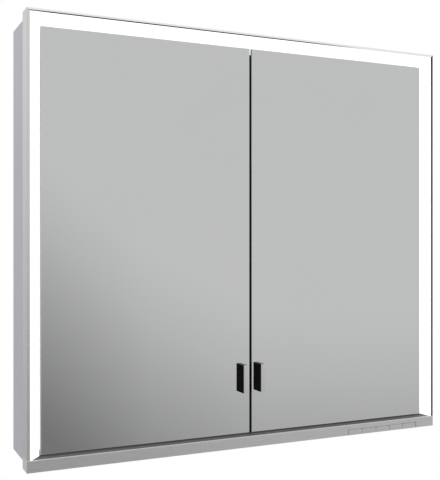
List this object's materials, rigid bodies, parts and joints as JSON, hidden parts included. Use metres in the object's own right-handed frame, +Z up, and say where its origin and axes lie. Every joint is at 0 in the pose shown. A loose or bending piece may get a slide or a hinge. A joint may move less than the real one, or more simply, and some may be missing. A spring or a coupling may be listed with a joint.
{
  "type": "medicine cabinet with mirror",
  "caption": "Wall-hung illuminated mirror cabinet with hinged mirrored doors, black tab handles, a lit frame, a bottom rail with push keys, glass shelves and sockets.",
  "frame": {"origin": "middle of the rear face that lies on the wall, at mid-height and mid-width", "axes": "+X to the right as seen from the room, +Y into the wall, +Z up"},
  "size_m": [0.8, 0.1477, 0.735],
  "materials": {
    "carcass_paint": "satin powder coat, cool grey",
    "frame_aluminium": "satin anodised",
    "rail_aluminium": "brushed and anodised",
    "mirror": "silvered, ground arris",
    "opal": "opal diffusing plastic, lit",
    "board": "white circuit board",
    "control_board": "green circuit board",
    "dark_trim": "dark grey plastic strip",
    "white_plastic": "white plastic",
    "black_plastic": "gloss black lacquer",
    "polished_metal": "polished",
    "bright_steel": "zinc plated",
    "cover_metal": "powder coat, light grey",
    "core_panel": "rigid foam panel in an aluminium foil",
    "bush": "plain bearing bush",
    "rubber": "soft black rubber",
    "clear_glass": "clear, polished edges"
  },
  "bodies": {
    "cabinet": {"side_panel_left": "carcass_paint", "side_panel_right": "carcass_paint", "top_panel": "carcass_paint", "bottom_panel": "carcass_paint", "back_panel": "cover_metal", "rear_mirror": "mirror", "corner_angles": "bright_steel", "wall_plates": "bright_steel", "frame_left": "frame_aluminium", "frame_right": "frame_aluminium", "frame_top": "frame_aluminium", "corner_cleats": "bright_steel", "bottom_rail": "rail_aluminium", "ledge_trim": "dark_trim", "lens_left": "opal", "lens_right": "opal", "lens_top": "opal", "light_boards_side": "board", "light_board_top": "board", "light_board_inner": "board", "driver_cover": "cover_metal", "light_driver": "white_plastic", "terminal_block": "white_plastic", "supply_lead": "rubber", "light_lead": "rubber", "cable_grommet": "rubber", "socket_left": "white_plastic", "socket_right": "white_plastic", "shelf_upper": "clear_glass", "shelf_lower": "clear_glass", "shelf_pegs": "bright_steel", "hinge_brackets": "bright_steel", "hinge_pins": "bright_steel", "cabinet_screws": "bright_steel", "door_catches": "white_plastic", "door_bumpers": "rubber", "key_board": "control_board"},
    "left_door": {"left_door_mirror": "mirror", "left_door_core": "core_panel", "left_door_inner_mirror": "mirror", "left_door_bushes": "bush", "left_door_seal": "rubber", "left_door_strike": "bright_steel", "left_handle": "black_plastic", "left_handle_cap": "polished_metal", "left_handle_screws": "bright_steel"},
    "right_door": {"right_door_mirror": "mirror", "right_door_core": "core_panel", "right_door_inner_mirror": "mirror", "right_door_bushes": "bush", "right_door_seal": "rubber", "right_door_strike": "bright_steel", "right_handle": "black_plastic", "right_handle_cap": "polished_metal", "right_handle_screws": "bright_steel"},
    "key_1": {"key_1": "rail_aluminium"},
    "key_2": {"key_2": "rail_aluminium"},
    "key_3": {"key_3": "rail_aluminium"},
    "key_4": {"key_4": "rail_aluminium"},
    "key_5": {"key_5": "rail_aluminium"}
  },
  "joints": [
    {"name": "left_door_hinge", "type": "hinge", "parent": "cabinet", "child": "left_door", "pos_m": [-0.352, -0.1232, 0], "axis": [0, 0, -1], "range_deg": [0, 105]},
    {"name": "right_door_hinge", "type": "hinge", "parent": "cabinet", "child": "right_door", "pos_m": [0.352, -0.1232, 0], "axis": [0, 0, 1], "range_deg": [0, 105]},
    {"name": "key_1_press", "type": "slide", "parent": "cabinet", "child": "key_1", "axis": [0, 1, 0], "range_m": [0, 0.0008], "stiffness_N_per_m": 400, "springref_m": -0.002},
    {"name": "key_2_press", "type": "slide", "parent": "cabinet", "child": "key_2", "axis": [0, 1, 0], "range_m": [0, 0.0008], "stiffness_N_per_m": 400, "springref_m": -0.002},
    {"name": "key_3_press", "type": "slide", "parent": "cabinet", "child": "key_3", "axis": [0, 1, 0], "range_m": [0, 0.0008], "stiffness_N_per_m": 400, "springref_m": -0.002},
    {"name": "key_4_press", "type": "slide", "parent": "cabinet", "child": "key_4", "axis": [0, 1, 0], "range_m": [0, 0.0008], "stiffness_N_per_m": 400, "springref_m": -0.002},
    {"name": "key_5_press", "type": "slide", "parent": "cabinet", "child": "key_5", "axis": [0, 1, 0], "range_m": [0, 0.0008], "stiffness_N_per_m": 400, "springref_m": -0.002}
  ]
}
